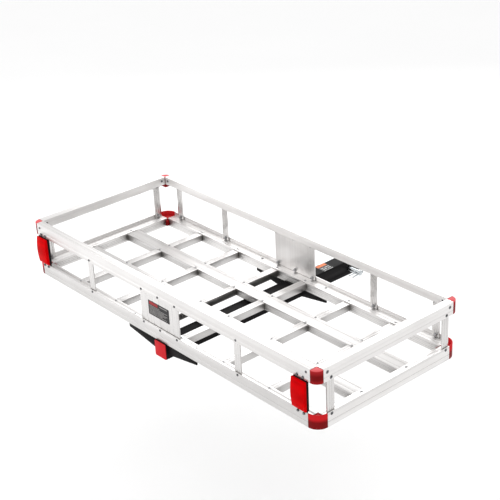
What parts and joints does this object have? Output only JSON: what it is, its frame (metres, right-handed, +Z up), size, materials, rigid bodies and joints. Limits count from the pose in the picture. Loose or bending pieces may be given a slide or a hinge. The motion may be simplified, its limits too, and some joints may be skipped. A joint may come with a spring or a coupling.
{
  "type": "hitch cargo carrier",
  "caption": "Aluminium basket cargo carrier on a square hitch shank, with an open slatted floor, a raised rim, red corner caps, rear reflectors and a removable hitch pin.",
  "frame": {"origin": "on the shank's top face, on the carrier's centre line, directly above the axis of the hitch pin", "axes": "+X across the vehicle, to the right when looking at the vehicle from behind the carrier; +Y along the shank towards the vehicle; +Z up"},
  "size_m": [1.245, 0.769, 0.2181],
  "materials": {
    "aluminium": "mill-finish extrusion, fine lengthwise lines, bright",
    "cap_plastic": "dark red moulded plastic, satin",
    "lens_plastic": "bright red reflector plastic, glossy",
    "housing_plastic": "black moulded plastic",
    "black_steel": "black powder-coated steel, satin",
    "plug_plastic": "bright red moulded plastic, satin",
    "plated_steel": "bright plated steel"
  },
  "bodies": {
    "carrier": {"centre_plate_front": "aluminium", "centre_plate_rear": "aluminium", "cross_slat_1_front": "aluminium", "cross_slat_1_middle": "aluminium", "cross_slat_1_rear": "aluminium", "cross_slat_2_front": "aluminium", "cross_slat_2_middle": "aluminium", "cross_slat_2_rear": "aluminium", "cross_slat_3_front": "aluminium", "cross_slat_3_middle": "aluminium", "cross_slat_3_rear": "aluminium", "cross_slat_4_front": "aluminium", "cross_slat_4_middle": "aluminium", "cross_slat_4_rear": "aluminium", "cross_slat_5_front": "aluminium", "cross_slat_5_middle": "aluminium", "cross_slat_5_rear": "aluminium", "cross_slat_6_front": "aluminium", "cross_slat_6_middle": "aluminium", "cross_slat_6_rear": "aluminium", "hitch_shank": "black_steel", "long_slat_front": "aluminium", "long_slat_rear": "aluminium", "lower_corner_cap_front_left": "cap_plastic", "lower_corner_cap_front_right": "cap_plastic", "lower_corner_cap_rear_left": "cap_plastic", "lower_corner_cap_rear_right": "cap_plastic", "lower_rail_front": "aluminium", "lower_rail_left": "aluminium", "lower_rail_rear": "aluminium", "lower_rail_right": "aluminium", "post_front_1": "aluminium", "post_front_2": "aluminium", "post_front_3": "aluminium", "post_front_4": "aluminium", "post_left_front": "aluminium", "post_left_rear": "aluminium", "post_rear_left": "aluminium", "post_rear_right": "aluminium", "post_right_front": "aluminium", "post_right_rear": "aluminium", "reflector_housing_left": "housing_plastic", "reflector_housing_right": "housing_plastic", "reflector_lens_left": "lens_plastic", "reflector_lens_right": "lens_plastic", "shank_bracket_front_left": "black_steel", "shank_bracket_front_right": "black_steel", "shank_bracket_rear_left": "black_steel", "shank_bracket_rear_right": "black_steel", "shank_end_plug": "plug_plastic", "upper_corner_cap_front_left": "cap_plastic", "upper_corner_cap_front_right": "cap_plastic", "upper_corner_cap_rear_left": "cap_plastic", "upper_corner_cap_rear_right": "cap_plastic", "upper_rail_front": "aluminium", "upper_rail_left": "aluminium", "upper_rail_rear": "aluminium", "upper_rail_right": "aluminium"},
    "pin": {"hitch_pin": "plated_steel"},
    "pin_clip": {"hitch_pin_clip": "plated_steel"}
  },
  "joints": [
    {"name": "pin_slide", "type": "slide", "parent": "carrier", "child": "pin", "axis": [-1, 0, 0], "range_m": [0, 0.034]},
    {"name": "clip_pull", "type": "slide", "parent": "pin", "child": "pin_clip", "axis": [0, 1, 0], "range_m": [0, 0.046]}
  ]
}
